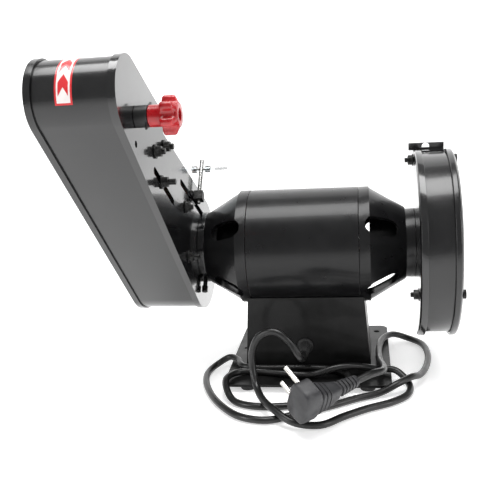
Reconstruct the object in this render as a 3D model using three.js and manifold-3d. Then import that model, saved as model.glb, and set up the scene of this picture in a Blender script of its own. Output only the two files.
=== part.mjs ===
// A 150 mm bench grinder whose second side drives a 50 mm belt sander on a tilting arm.
// Millimetres, +Z up. The motor axis runs along X: the grinding wheel is at -X and the belt arm
// at +X. The machine's front is at -Y, the mains lead leaves at +Y. The origin is on the bench,
// below the centre of the machine's bounding box.

import * as THREE from 'three';
import { mergeVertices } from 'three/addons/utils/BufferGeometryUtils.js';
import Module from 'manifold-3d';

const wasm = await Module();
wasm.setup();

// ---------------------------------------------------------------- driving dimensions

const AXIS_HEIGHT = 122;          // motor axis above the bench
const CENTRE_OFFSET = { x: 13.75, y: 59.4 };  // bounding-box centre, from the middle of the base
const GAP = 0.3;                  // clearance left between neighbouring pieces
const SHEET = 1.5;                // thickness of the guard and housing sheet

const PLATE = { x0: -79, x1: 77, y0: -79, y1: 76, z0: 5.4, z1: 7.9, corner: 8 };
const PLATE_HOLES = [             // x, y and radius of the bench-bolt holes
  [68, -14, 2.6],
  [66, 30, 3.6],
  [66, -61, 3.2],
  [-67.5, -61, 3.2],
  [-67.5, 10, 3],
];
const FOOT = { radius: 8, x: 56, y: 65 };

const PEDESTAL = { topHalf: 55.3, bottomHalf: 60.6, halfDepth: 36, wall: 1.8, top: 81 };
const SWITCH = { z: 45, halfWidth: 16, halfHeight: 20, windowX: 10.6, windowZ: 14.6 };
const GLAND = { x: 1.8, z: 31, flange: 7.6, tip: 58 };

const MOTOR_RADIUS = 55.4;
const SHELL_HALF = 52;            // half length of the motor's middle tube
const BELL_EDGE = 62;             // where the end bell's skirt turns into its cone
const CONE_END = 95;
const CONE_END_RADIUS = 34.5;
const VENTS = 5;                  // cooling slots in each end bell
const VENT_START = 33;            // degrees above horizontal of the first slot
const STATOR_SLOTS = 18;
const BEARING = { inner: 86.3, outer: 97.3, radius: 17.5, bore: 7.5 };

const GUARD = { inner: -103.7, outer: -139.6, radius: 88.3, drum: 85.2, lip: 6.8 };
const GUARD_MOUTH = { from: 158, to: 222, depth: 52 };   // degrees, front is 180
const GUARD_SCREWS = [88, -20.5];                        // degrees around the motor axis
const GUARD_SCREW_RADIUS = 80;
const WHEEL = { radius: 75, x0: -131.3, x1: -111.3 };

const ARM_ANGLE = 39;             // degrees the arm rises towards the rear
const ARM = { x: 101.8, plate: 2.5, lower: 60.7, upper: 28.7, length: 255 };
const COVER = { lip: 161.8, outer: 167 };
const BAND = { x0: 104.8, x1: 165.1, inset: 1.6 };
const DRIVE_RADIUS = 49.5;
const IDLER = { radius: 19.5, u: 236, w: -5 };
const BELT = { x0: 109, x1: 159, thickness: 1 };
const BELT_EDGE = 48.5;           // the side plates stop this far from the drive wheel's axis
const MOUTH_END = 172;            // how far along the belt its open face runs
const MOUTH_ANGLE = 158;          // and how far round the drive wheel, in degrees
const KNOB = { sleeve: 91.7, head: 81.8, face: 69.5, radius: 14.2, lobes: 7 };
const SHIELD = { u: 58, w: 56, rodX: 97, x0: 84, x1: 160, reach: 70, angle: 149 };

const CORD_RADIUS = 3.2;

// The mains lead from the strain relief to the plug: an arch down the rear, then flat loops.
const CORD_ROUTE = [
  [1.8, 58.5, 31], [1.8, 70, 31.6], [4, 83, 40], [11, 88, 55], [24, 87, 64.5], [38, 85, 60],
  [46, 84, 45], [46, 87, 28], [42, 96, 15.5], [35, 112, 11.4], [23, 131, 11], [5, 145, 6.5],
  [-17, 144, 3.8], [-37, 127, 3.6], [-57, 112, 3.6], [-77, 100, 3.6], [-92, 84, 3.6],
  [-94.5, 65, 4.5], [-83, 50.5, 11.8], [-65, 47.5, 12.3], [-46, 54.5, 17.6], [-29, 60.5, 18.8],
  [-6, 62, 12.4], [24, 58, 11.6], [48, 53.5, 11.6], [66, 57, 11.7], [74, 71, 12.3],
  [72, 86, 9.6], [63, 101, 4], [45, 110.5, 3.6], [22, 111, 3.6], [-4, 104, 3.6],
  [-25, 93, 4.4], [-38, 77.5, 11.6], [-38, 60.5, 11.8], [-25, 49, 11.6], [-4, 45, 11.6], [22, 45, 11.6],
  [44, 46, 11.8], [62.5, 42.5, 12], [70, 27.5, 12], [80, 19, 11.5], [92, 23, 5.8], [98.5, 36, 3.7],
  [98, 54, 3.6], [89, 82, 3.6], [73, 110, 3.6], [52, 131, 3.6], [28, 136.5, 3.6],
  [3, 124, 3.6], [-22, 110, 3.6], [-46, 94, 3.7], [-68, 83, 4.6], [-84, 75, 9.9],
  [-96, 64, 11.2], [-105, 48, 6.4], [-113, 22, 3.6], [-117, -8, 3.6], [-113, -36, 3.6],
  [-100, -50, 4.4], [-85, -46, 10.4], [-74, -31, 12], [-69, -6, 11.6], [-68.5, 22, 13.2],
  [-69, 44, 18.6], [-70, 97, 32.1], [-60.2, 110.7, 35.1], [-48.3, 121.4, 33.9],
];
const CORD_STEPS = 80;

// The plug lies on the loops. Its long axis runs from the lead's end to the head.
const PLUG = {
  tail: [-48.0, 121.6, 33.8], head: [-2.0, 162.9, 29.0],
  relief: 22, neckHalf: 7, headWidth: 18, headThick: 9, headTop: 15,
};
const PIN_SPACING = 19;
const PIN_RADIUS = 2.2;
const PIN_REACH = 18;
const PIN_UP = [0.62, -0.64, 0.46];

const COLOURS = {
  black: 0x1b1b1c, darkGrey: 0x3a3a3c, steel: 0xa8a8a6, rubber: 0x161616, red: 0xd0141c,
  abrasive: 0x6e4a35, stone: 0x9a9a96, copper: 0xb06a3a, clear: 0xdfe6ea, aluminium: 0xb8babd,
};

// ---------------------------------------------------------------- solid helpers

const degrees = (angle) => (angle * Math.PI) / 180;

/** Position-only, welded, with no zero-area faces, facing out. */
function welded(geometry) {
  const bare = geometry.clone();
  for (const name of Object.keys(bare.attributes)) {
    if (name !== 'position') bare.deleteAttribute(name);
  }
  const merged = mergeVertices(bare, 1e-4);
  const index = Array.from(merged.index.array);
  const kept = [];
  for (let i = 0; i < index.length; i += 3) {
    const [a, b, c] = [index[i], index[i + 1], index[i + 2]];
    if (a !== b && b !== c && c !== a) kept.push(a, b, c);
  }
  merged.setIndex(kept);
  return volume(merged) < 0 ? flipped(merged) : merged;
}

function volume(geometry) {
  const at = geometry.attributes.position;
  const index = geometry.index.array;
  const [a, b, c] = [new THREE.Vector3(), new THREE.Vector3(), new THREE.Vector3()];
  let sum = 0;
  for (let i = 0; i < index.length; i += 3) {
    a.fromBufferAttribute(at, index[i]);
    b.fromBufferAttribute(at, index[i + 1]);
    c.fromBufferAttribute(at, index[i + 2]);
    sum += a.dot(b.cross(c)) / 6;
  }
  return sum;
}

function flipped(geometry) {
  const index = geometry.index.array;
  for (let i = 0; i < index.length; i += 3) {
    [index[i + 1], index[i + 2]] = [index[i + 2], index[i + 1]];
  }
  return geometry;
}

function toManifold(geometry) {
  const solid = welded(geometry);
  return new wasm.Manifold(new wasm.Mesh({
    numProp: 3,
    vertProperties: new Float32Array(solid.attributes.position.array),
    triVerts: new Uint32Array(solid.index.array),
  }));
}

function toGeometry(manifold) {
  const mesh = manifold.getMesh();
  const geometry = new THREE.BufferGeometry();
  geometry.setAttribute('position', new THREE.BufferAttribute(mesh.vertProperties, 3));
  geometry.setIndex(new THREE.BufferAttribute(mesh.triVerts, 1));
  return geometry;
}

function cut(body, ...tools) {
  return toGeometry(tools.reduce((rest, tool) => rest.subtract(toManifold(tool)), toManifold(body)));
}

function join(...pieces) {
  return toGeometry(pieces.slice(1).reduce((sum, piece) => sum.add(toManifold(piece)), toManifold(pieces[0])));
}

function box(x0, x1, y0, y1, z0, z1) {
  const geometry = new THREE.BoxGeometry(x1 - x0, y1 - y0, z1 - z0);
  return geometry.translate((x0 + x1) / 2, (y0 + y1) / 2, (z0 + z1) / 2);
}

/** Turned about the X axis from [x, radius] points. A ring's profile closes on itself. */
function turned(profile, segments = 48) {
  const onAxis = profile[0][1] === 0;
  const loop = onAxis ? profile : [...profile, profile[0]];
  const points = loop.map(([x, radius]) => new THREE.Vector2(radius, x));
  return welded(new THREE.LatheGeometry(points, segments).rotateZ(-Math.PI / 2));
}

/** A round or, with 6 segments, hexagonal bar along X. */
function barX(x0, x1, radius, y = 0, z = 0, segments = 16) {
  const geometry = new THREE.CylinderGeometry(radius, radius, x1 - x0, segments);
  return geometry.rotateZ(-Math.PI / 2).translate((x0 + x1) / 2, y, z);
}

function barZ(z0, z1, radius, x, y, segments = 16) {
  const geometry = new THREE.CylinderGeometry(radius, radius, z1 - z0, segments);
  return geometry.rotateX(Math.PI / 2).translate(x, y, (z0 + z1) / 2);
}

function barY(y0, y1, radius, x, z, segments = 16) {
  return new THREE.CylinderGeometry(radius, radius, y1 - y0, segments).translate(x, (y0 + y1) / 2, z);
}

/** A flat outline in (Y, Z), given thickness from x0 to x1. */
function slabX(shape, x0, x1, curveSegments = 6) {
  const geometry = new THREE.ExtrudeGeometry(shape, { depth: x1 - x0, bevelEnabled: false, curveSegments });
  const turn = new THREE.Matrix4().makeBasis(
    new THREE.Vector3(0, 1, 0), new THREE.Vector3(0, 0, 1), new THREE.Vector3(1, 0, 0),
  );
  return geometry.applyMatrix4(turn).translate(x0, 0, 0);
}

/** A flat outline in (X, Z), given thickness from y0 to y1. */
function slabY(shape, y0, y1) {
  const geometry = new THREE.ExtrudeGeometry(shape, { depth: y1 - y0, bevelEnabled: false, curveSegments: 4 });
  return geometry.rotateX(Math.PI / 2).translate(0, y1, 0);
}

function polygon(points) {
  return new THREE.Shape(points.map(([a, b]) => new THREE.Vector2(a, b)));
}

function roundedRectangle(x0, x1, y0, y1, r) {
  const shape = new THREE.Shape();
  shape.moveTo(x0 + r, y0);
  shape.lineTo(x1 - r, y0);
  shape.absarc(x1 - r, y0 + r, r, -Math.PI / 2, 0);
  shape.lineTo(x1, y1 - r);
  shape.absarc(x1 - r, y1 - r, r, 0, Math.PI / 2);
  shape.lineTo(x0 + r, y1);
  shape.absarc(x0 + r, y1 - r, r, Math.PI / 2, Math.PI);
  shape.lineTo(x0, y0 + r);
  shape.absarc(x0 + r, y0 + r, r, Math.PI, 1.5 * Math.PI);
  return shape;
}

/** A round-ended slot between two points. */
function slotOutline([a0, b0], [a1, b1], r) {
  const along = Math.atan2(b1 - b0, a1 - a0);
  const shape = new THREE.Shape();
  shape.absarc(a1, b1, r, along - Math.PI / 2, along + Math.PI / 2);
  shape.absarc(a0, b0, r, along + Math.PI / 2, along + 1.5 * Math.PI);
  return shape;
}

/** The outline round two circles, the first at the origin, and the straight runs between them. */
function loopOutline(r0, r1, a1, b1) {
  const tilt = Math.atan2(b1, a1);
  const spread = Math.PI / 2 - Math.asin((r0 - r1) / Math.hypot(a1, b1));
  const shape = new THREE.Shape();
  shape.absarc(a1, b1, r1, tilt - spread, tilt + spread);
  shape.absarc(0, 0, r0, tilt + spread, tilt - spread + 2 * Math.PI);
  return shape;
}

// ---------------------------------------------------------------- scene graph

const machine = new THREE.Group();
machine.position.set(-CENTRE_OFFSET.x, -CENTRE_OFFSET.y, 0);

const spindle = new THREE.Group();            // origin on the motor axis
spindle.position.z = AXIS_HEIGHT;
machine.add(spindle);

const arm = new THREE.Group();                // Y along the belt arm, Z out of the belt's face
arm.rotation.x = degrees(ARM_ANGLE);
spindle.add(arm);

function add(parent, name, geometry, color, roughness, metalness = 0) {
  const material = new THREE.MeshStandardMaterial({ color, roughness, metalness });
  const mesh = new THREE.Mesh(welded(geometry), material);
  mesh.name = name;
  parent.add(mesh);
  return mesh;
}

// ---------------------------------------------------------------- base and pedestal

function buildBase() {
  const { x0, x1, y0, y1, z0, z1, corner } = PLATE;
  const outline = roundedRectangle(x0, x1, y0, y1, corner);
  for (const [x, y, radius] of PLATE_HOLES) {
    outline.holes.push(new THREE.Path().absarc(x, y, radius, 0, 2 * Math.PI));
  }
  const sheet = new THREE.ExtrudeGeometry(outline, { depth: z1 - z0, bevelEnabled: false, curveSegments: 5 });
  add(machine, 'base_plate', sheet.translate(0, 0, z0), COLOURS.black, 0.4, 0.3);

  for (const [side, sx] of [['left', 1], ['right', -1]]) {
    for (const [end, sy] of [['rear', 1], ['front', -1]]) {
      const foot = new THREE.CylinderGeometry(FOOT.radius, FOOT.radius - 1, z0 - GAP, 20);
      foot.rotateX(Math.PI / 2).translate(sx * FOOT.x - 1, sy * FOOT.y, (z0 - GAP) / 2);
      add(machine, `foot_${end}_${side}`, foot, COLOURS.rubber, 0.9);
    }
  }
}

function pedestalBlock(inset, z0) {
  const { topHalf, bottomHalf, halfDepth, top } = PEDESTAL;
  const outline = polygon([
    [-bottomHalf + inset, z0], [bottomHalf - inset, z0], [topHalf - inset, top], [-topHalf + inset, top],
  ]);
  return slabY(outline, -halfDepth + inset, halfDepth - inset);
}

function buildPedestal() {
  const floor = PLATE.z1 + GAP;
  const { halfDepth, wall } = PEDESTAL;
  const hollow = pedestalBlock(wall, floor).scale(1, 1, 1.2).translate(0, 0, -floor * 0.2 - 1);
  const motorSeat = barX(-80, 80, MOTOR_RADIUS + GAP, 0, AXIS_HEIGHT, 64);
  const switchHole = box(
    -SWITCH.windowX, SWITCH.windowX, -halfDepth - 1, -halfDepth + 4,
    SWITCH.z - SWITCH.windowZ, SWITCH.z + SWITCH.windowZ,
  );
  const glandHole = barY(halfDepth - 4, halfDepth + 1, 6, GLAND.x, GLAND.z, 20);
  const shell = cut(pedestalBlock(0, floor), hollow, motorSeat, switchHole, glandHole);
  add(machine, 'pedestal_shell', shell, COLOURS.black, 0.4, 0.3);

  const capacitor = barX(-30, 28, 15, -2, floor + 15 + GAP, 24);
  add(machine, 'run_capacitor', capacitor, COLOURS.aluminium, 0.4, 0.6);
}

function buildSwitch() {
  const front = -PEDESTAL.halfDepth - GAP;
  const { z, halfWidth, halfHeight, windowX, windowZ } = SWITCH;
  const rim = slabY(roundedRectangle(-halfWidth, halfWidth, z - halfHeight, z + halfHeight, 4), front - 3, front);
  const window = box(-windowX, windowX, front - 4, front + 1, z - windowZ, z + windowZ);
  add(machine, 'switch_bezel', cut(rim, window), COLOURS.black, 0.5);

  const half = 13;
  const profile = polygon([
    [front - 5, z - half], [front + 8, z - half + 2], [front + 8, z + half - 2],
    [front - 5, z + half], [front - 3, z],
  ]);
  add(machine, 'switch_rocker', slabX(profile, -windowX + 0.8, windowX - 0.8), COLOURS.red, 0.4);
}

function buildGland() {
  const wall = PEDESTAL.halfDepth;
  const profile = [
    [wall - 5, 0], [wall - 5, 7.2], [wall - 2.2, 7.2], [wall - 2.2, 5.6], [wall + GAP, 5.6],
    [wall + GAP, GLAND.flange], [wall + 2.2, GLAND.flange], [wall + 3.2, 5.6], [GLAND.tip, 4.1], [GLAND.tip, 0],
  ];
  const gland = turned(profile, 20).rotateZ(Math.PI / 2).translate(GLAND.x, 0, GLAND.z);
  add(machine, 'cord_gland', gland, COLOURS.rubber, 0.6);
}

// ---------------------------------------------------------------- motor

function bellProfile(neckRadius, neckEnd) {
  const start = SHELL_HALF + GAP;
  return [
    [start, MOTOR_RADIUS], [BELL_EDGE, MOTOR_RADIUS], [BELL_EDGE, MOTOR_RADIUS - 1.2],
    [CONE_END, CONE_END_RADIUS], [CONE_END, neckRadius], [neckEnd, neckRadius], [neckEnd, 11],
    [98, 11], [98, BEARING.radius + GAP], [62, BEARING.radius + GAP], [62, 33], [91, 26],
    [91, neckRadius - 2.5], [60, MOTOR_RADIUS - 4.6], [60, MOTOR_RADIUS - 3.6], [start, MOTOR_RADIUS - 3.6],
  ];
}

function endBell(neckRadius, neckEnd, firstVent, handed) {
  const shell = turned(bellProfile(neckRadius, neckEnd), 40);
  const vents = [];
  for (let i = 0; i < VENTS; i += 1) {
    const outline = slotOutline([66, 0], [79, 0], 8.5);
    const slot = new THREE.ExtrudeGeometry(outline, { depth: 35, bevelEnabled: false, curveSegments: 5 });
    const around = degrees(handed * (firstVent - 90) - (i * 360) / VENTS);
    vents.push(slot.translate(0, 0, 33.5).rotateX(around));
  }
  return cut(shell, ...vents);
}

function statorOutline() {
  const slots = STATOR_SLOTS;
  const shape = new THREE.Shape().absarc(0, 0, MOTOR_RADIUS - 2.1, 0, 2 * Math.PI);
  const bore = [];
  for (let i = 0; i < slots; i += 1) {
    const middle = (i / slots) * 2 * Math.PI;
    const pitch = Math.PI / slots;
    for (const [turn, radius] of [[-0.55, 30], [-0.3, 30], [-0.45, 45], [0.45, 45], [0.3, 30], [0.55, 30]]) {
      bore.push(new THREE.Vector2(radius, 0).rotateAround(new THREE.Vector2(), middle + turn * pitch));
    }
  }
  shape.holes.push(new THREE.Path(bore));
  return shape;
}

/** The copper windings: a bundle in every slot, joined by the end turns on both sides. */
function buildWinding() {
  const pieces = [1, -1].map((side) => turned(
    [[32.3, 36], [32.3, 46], [37, 49], [44, 47], [46, 42], [44, 36]].map(([x, r]) => [side * x, r]), 24,
  ));
  for (let i = 0; i < STATOR_SLOTS; i += 1) {
    pieces.push(box(-33, 33, -1.2, 1.2, 37, 44).rotateX(-degrees(90) + (i / STATOR_SLOTS) * 2 * Math.PI));
  }
  return join(...pieces);
}

function buildMotor() {
  const inner = MOTOR_RADIUS - 1.8;
  const tube = turned([
    [-SHELL_HALF, MOTOR_RADIUS], [SHELL_HALF, MOTOR_RADIUS], [SHELL_HALF, inner], [-SHELL_HALF, inner],
  ], 56);
  add(spindle, 'motor_shell', tube, COLOURS.black, 0.35, 0.3);

  add(spindle, 'end_bell_belt_side', endBell(30, 101.5, VENT_START, 1), COLOURS.black, 0.35, 0.3);
  const wheelSide = endBell(33, 103.4, 180 - VENT_START, 1).rotateZ(Math.PI);
  add(spindle, 'end_bell_wheel_side', wheelSide, COLOURS.black, 0.35, 0.3);

  add(spindle, 'stator_core', slabX(statorOutline(), -32, 32, 24), COLOURS.steel, 0.5, 0.8);
  add(spindle, 'stator_winding', buildWinding(), COLOURS.copper, 0.5, 0.6);
  for (const [name, side] of [['belt_side', 1], ['wheel_side', -1]]) {
    const bearing = turned([
      [BEARING.inner, BEARING.bore], [BEARING.inner, BEARING.radius],
      [BEARING.outer, BEARING.radius], [BEARING.outer, BEARING.bore],
    ], 32);
    if (side < 0) bearing.rotateZ(Math.PI);
    add(spindle, `ball_bearing_${name}`, bearing, COLOURS.steel, 0.3, 0.9);
  }
}

function buildRotor() {
  const shaft = turned([
    [-144, 0], [-144, 6.2], [-106.7, 6.2], [-106.7, 7.4], [-84.3, 7.4], [-84.3, 9], [84.3, 9],
    [84.3, 7.4], [111.7, 7.4], [111.7, 6.2], [163.5, 6.2], [163.5, 0],
  ], 20);
  add(spindle, 'motor_shaft', shaft, COLOURS.steel, 0.3, 0.9);
  const core = turned([
    [-40, 9.3], [-40, 26], [-32, 26], [-32, 29.5], [32, 29.5], [32, 26], [40, 26], [40, 9.3],
  ], 28);
  add(spindle, 'rotor_core', core, COLOURS.steel, 0.5, 0.8);
}

// ---------------------------------------------------------------- grinding wheel side

function buildWheel() {
  const { radius, x0, x1 } = WHEEL;
  const bore = 6.5;
  add(spindle, 'grinding_wheel', turned([
    [x0, bore], [x0, radius], [x1, radius], [x1, bore],
  ], 56), COLOURS.stone, 0.95);
  const flange = [[0, bore], [0, 28], [2, 28], [4, 20], [4, bore]];
  const inner = flange.map(([x, r]) => [x1 + GAP + x, r]);
  const outer = flange.map(([x, r]) => [x0 - GAP - x, r]);
  add(spindle, 'wheel_flange_inner', turned(inner, 32), COLOURS.steel, 0.4, 0.8);
  add(spindle, 'wheel_flange_outer', turned(outer, 32), COLOURS.steel, 0.4, 0.8);
  const nut = cut(barX(-142.3, -135.9, 10.4, 0, 0, 6), barX(-150, -130, bore));
  add(spindle, 'wheel_nut', nut, COLOURS.steel, 0.4, 0.8);
}

/** The wedge that opens the guard at the front so the work reaches the wheel. */
function guardMouth() {
  const { from, to, depth } = GUARD_MOUTH;
  const reach = 140;
  const shape = new THREE.Shape();
  shape.absarc(0, 0, depth, degrees(from), degrees(to));
  shape.lineTo(reach * Math.cos(degrees(to)), reach * Math.sin(degrees(to)));
  shape.lineTo(reach * Math.cos(degrees(from)), reach * Math.sin(degrees(from)));
  return slabX(shape, -150, -100, 12);
}

function screwPlace(angle) {
  return [GUARD_SCREW_RADIUS * Math.cos(degrees(angle)), GUARD_SCREW_RADIUS * Math.sin(degrees(angle))];
}

function buildGuard() {
  const { inner, outer, radius, drum, lip } = GUARD;
  const mouth = guardMouth();
  const holes = GUARD_SCREWS.map((angle) => barX(-150, -100, 2.5, ...screwPlace(angle), 12));

  const backPlate = turned([
    [inner, 20], [inner, radius - 2], [inner - 1.3, radius], [inner - lip, radius],
    [inner - lip, drum + GAP], [inner - SHEET, drum + GAP], [inner - SHEET, 20],
  ], 56);
  const restBolt = barX(-150, -100, 3.3, -46, -9);
  add(spindle, 'guard_back_plate', cut(backPlate, mouth, restBolt, ...holes), COLOURS.black, 0.35, 0.3);

  const drumEnd = outer + SHEET + GAP;
  const band = turned([
    [inner - SHEET - GAP, drum], [inner - SHEET - GAP, drum - SHEET], [drumEnd, drum - SHEET], [drumEnd, drum],
  ], 56);
  add(spindle, 'guard_drum', cut(band, mouth), COLOURS.black, 0.35, 0.3);

  const cover = turned([
    [outer - 7.9, 0], [outer - 7.1, 8], [outer - 4, 15.5], [outer, 20], [outer, radius - 3],
    [outer + 2, radius], [outer + lip, radius], [outer + lip, drum + GAP], [outer + SHEET, drum + GAP],
    [outer + SHEET, 19.5], [outer - 2.7, 14.8], [outer - 5.7, 7.5], [outer - 6.4, 0],
  ], 56);
  add(spindle, 'guard_cover', cut(cover, mouth, ...holes), COLOURS.black, 0.35, 0.3);

  GUARD_SCREWS.forEach((angle, i) => {
    const [y, z] = screwPlace(angle);
    const screw = join(
      barX(outer - 3, outer - GAP, 4.2, y, z, 12),
      barX(outer - 1, -95.5, 2.2, y, z, 12),
      barX(inner + GAP, inner + 1.3, 5.6, y, z, 16),
      barX(inner + 1.2, inner + 5.4, 4.6, y, z, 6),
    );
    add(spindle, `guard_screw_${i + 1}`, screw, COLOURS.black, 0.4, 0.5);
  });
}

/** The bracket on the crown of the guard that holds a spark arrester. */
function buildSparkBracket() {
  const z0 = 74;
  const upright = cut(
    box(-133.4, -100.6, -24, -22, z0, 92.6),
    barX(-150, -90, GUARD.radius + GAP, 0, 0, 64),
    barY(-30, -15, 3.6, -116.5, 87.9 + 1),
  );
  const foot = cut(
    box(-132.2, -111, -24, -8, z0, 88.2),
    barX(-150, -90, GUARD.drum + GAP, 0, 0, 64),
    box(-140, -100, -22 + 0.01, 0, 86.7, 95),
  );
  add(spindle, 'spark_guard_bracket', join(upright, foot), COLOURS.black, 0.4, 0.3);
}

function buildToolRest() {
  const table = box(-141, -99.8, -108, -77.6, -4, 0);
  const leg = cut(
    box(-103.3, -99.8, -108, -34.8, -20, 0),
    slabX(slotOutline([-46, -9], [-40, -9], 3.4), -110, -90),
  );
  const groove = box(-123, -119, -101, -84, -1, 1);
  add(spindle, 'tool_rest', cut(join(table, leg), groove), COLOURS.darkGrey, 0.5, 0.3);
  const bolt = join(
    barX(-107.3, -105.5, 5.5, -46, -9, 6), barX(-106, -93, 3, -46, -9, 12),
    barX(-99.5, -95, 5.5, -46, -9, 6),
  );
  add(spindle, 'tool_rest_bolt', bolt, COLOURS.steel, 0.4, 0.8);
}

// ---------------------------------------------------------------- belt sander side

const BELT_SLOPE = Math.atan2(IDLER.w, IDLER.u)
  - Math.asin((DRIVE_RADIUS - IDLER.radius) / Math.hypot(IDLER.u, IDLER.w));

/** A point given along (a) and out from (b) the belt's front run, in the arm's own axes. */
function onBelt(a, b) {
  return [
    a * Math.cos(BELT_SLOPE) - b * Math.sin(BELT_SLOPE),
    a * Math.sin(BELT_SLOPE) + b * Math.cos(BELT_SLOPE),
  ];
}

function armOutline(shrink) {
  return loopOutline(ARM.lower - shrink, ARM.upper - shrink, ARM.length, 0);
}

/** Everything in front of the belt's open face: the side plates and the band are cut back to it. */
function beltMouth() {
  const far = 120;
  const shape = new THREE.Shape();
  shape.absarc(0, 0, BELT_EDGE, degrees(MOUTH_ANGLE), BELT_SLOPE + Math.PI / 2, true);
  for (const [a, b] of [onBelt(MOUTH_END - 6, BELT_EDGE), onBelt(MOUTH_END, far), [-far, far]]) {
    shape.lineTo(a, b);
  }
  shape.lineTo(-far, -far * Math.tan(degrees(MOUTH_ANGLE)));
  return slabX(shape, 90, 180, 16);
}

function armWall(shrink, x0, x1) {
  return cut(slabX(armOutline(shrink), x0, x1, 18), slabX(armOutline(shrink + SHEET), x0 - 1, x1 + 1, 18));
}

const PLATE_FIXINGS = {
  platen_bolt_upper: [186, -3], platen_bolt_lower: [166, 14],
  carriage_bolt: [162, -16.6], stop_bolt: [85, 1], housing_bolt: [60, -37],
};
const REST_BOLT = [-49, -16];     // belt rest's bolt, level axes from the motor axis
const COVER_POST = [92, -14];
const EYE_BOLT = [58, 27];

/** Turns level axes through the arm's tilt, into the arm's own axes. */
function levelToArm([y, z]) {
  const point = new THREE.Vector2(y, z).rotateAround(new THREE.Vector2(), -degrees(ARM_ANGLE));
  return [point.x, point.y];
}

function buildArmPlate() {
  const { x, plate } = ARM;
  const outline = armOutline(0);
  const holes = [
    barX(x - 2, x + 5, 20, 0, 0, 32),
    slabX(slotOutline([124, -14.5], [181, -17.4], 3.1), x - 2, x + 5, 6),
    slabX(slotOutline([18, 26.4], [106, 14.6], 3.1), x - 2, x + 5, 6),
    slabX(slotOutline([IDLER.u - 6, IDLER.w], [IDLER.u, IDLER.w], 4.4), x - 2, x + 5, 8),
    barX(x - 2, x + 5, 2.6, 229, -23.6),
    barX(x - 2, x + 5, 3.2, ...levelToArm(REST_BOLT)),
    barX(x - 2, x + 5, 2.6, ...EYE_BOLT),
  ];
  for (const [u, w] of Object.values(PLATE_FIXINGS)) holes.push(barX(x - 2, x + 5, 2.8, u, w));
  const sheet = slabX(outline, x, x + plate, 18);
  const lip = armWall(0, x + plate - 0.5, x + 5.8);
  add(arm, 'arm_plate', cut(join(sheet, lip), beltMouth(), ...holes), COLOURS.black, 0.3, 0.3);

  const band = cut(armWall(BAND.inset, BAND.x0, BAND.x1), beltMouth());
  add(arm, 'belt_housing_band', band, COLOURS.black, 0.35, 0.3);

  const face = cut(slabX(outline, COVER.outer - SHEET, COVER.outer, 18), barX(160, 170, 3.4, ...COVER_POST));
  const coverLip = armWall(0, COVER.lip, COVER.outer - 1);
  add(arm, 'belt_cover', cut(join(face, coverLip), beltMouth()), COLOURS.black, 0.35, 0.3);

  const screw = join(
    barX(x + plate + GAP, COVER.outer + 1, 3, ...COVER_POST, 12),
    barX(COVER.outer + GAP, COVER.outer + 4.8, 8, ...COVER_POST, 24),
    barX(COVER.outer + 4.5, COVER.outer + 8, 5, ...COVER_POST, 16),
  );
  add(arm, 'cover_screw', screw, COLOURS.black, 0.5);
}

/** A bolt through the arm plate, with its nut and washer on the motor side. */
function plateBolt(u, w, nutEnd, studEnd, head = 3) {
  const inside = ARM.x + ARM.plate + GAP;
  return join(
    barX(inside, inside + head, 4.6, u, w, 6),
    barX(studEnd, inside + 1, 2.4, u, w, 12),
    barX(ARM.x - 1.3, ARM.x - GAP, 5.6, u, w, 18),
    barX(nutEnd, ARM.x - 1.2, 4.6, u, w, 6),
  );
}

function buildPlateFixings() {
  const sizes = {
    platen_bolt_upper: [96.3, 93.4, -2], platen_bolt_lower: [96.3, 93.4, -2],
    carriage_bolt: [96, 89.8, 3], stop_bolt: [97, 94.5, 3], housing_bolt: [96.6, 91, 3],
  };
  for (const [name, [u, w]] of Object.entries(PLATE_FIXINGS)) {
    const [nutEnd, studEnd, head] = sizes[name];
    const throughPlaten = head < 0;
    const bolt = throughPlaten ? platenBolt(u, w, nutEnd, studEnd) : plateBolt(u, w, nutEnd, studEnd, head);
    add(arm, name, bolt, COLOURS.black, 0.4, 0.5);
  }
}

/** The platen's own bolts reach through its bracket, so their heads sit behind it. */
function platenBolt(u, w, nutEnd, studEnd) {
  const bracket = ARM.x + ARM.plate + GAP + 2.5;
  return join(
    barX(bracket + GAP, bracket + 3, 4.6, u, w, 6),
    barX(studEnd, bracket + 1, 2.4, u, w, 12),
    barX(ARM.x - 1.3, ARM.x - GAP, 5.6, u, w, 18),
    barX(nutEnd, ARM.x - 1.2, 4.6, u, w, 6),
  );
}

function buildArmMount() {
  const radius = 35;
  const ring = turned([[95.4, 30.3], [95.4, radius], [ARM.x - GAP, radius], [ARM.x - GAP, 30.3]], 44);
  const middle = 98.3;
  add(arm, 'arm_clamp_ring', cut(ring, barZ(-50, -20, 2.4, middle, 0)), COLOURS.black, 0.4, 0.3);
  const screw = join(barZ(-45, -30.6, 2.1, middle, 0, 12), barZ(-48, -42, 3.1, middle, 0, 6));
  add(arm, 'arm_lock_screw', screw, COLOURS.black, 0.4, 0.5);
}

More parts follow.
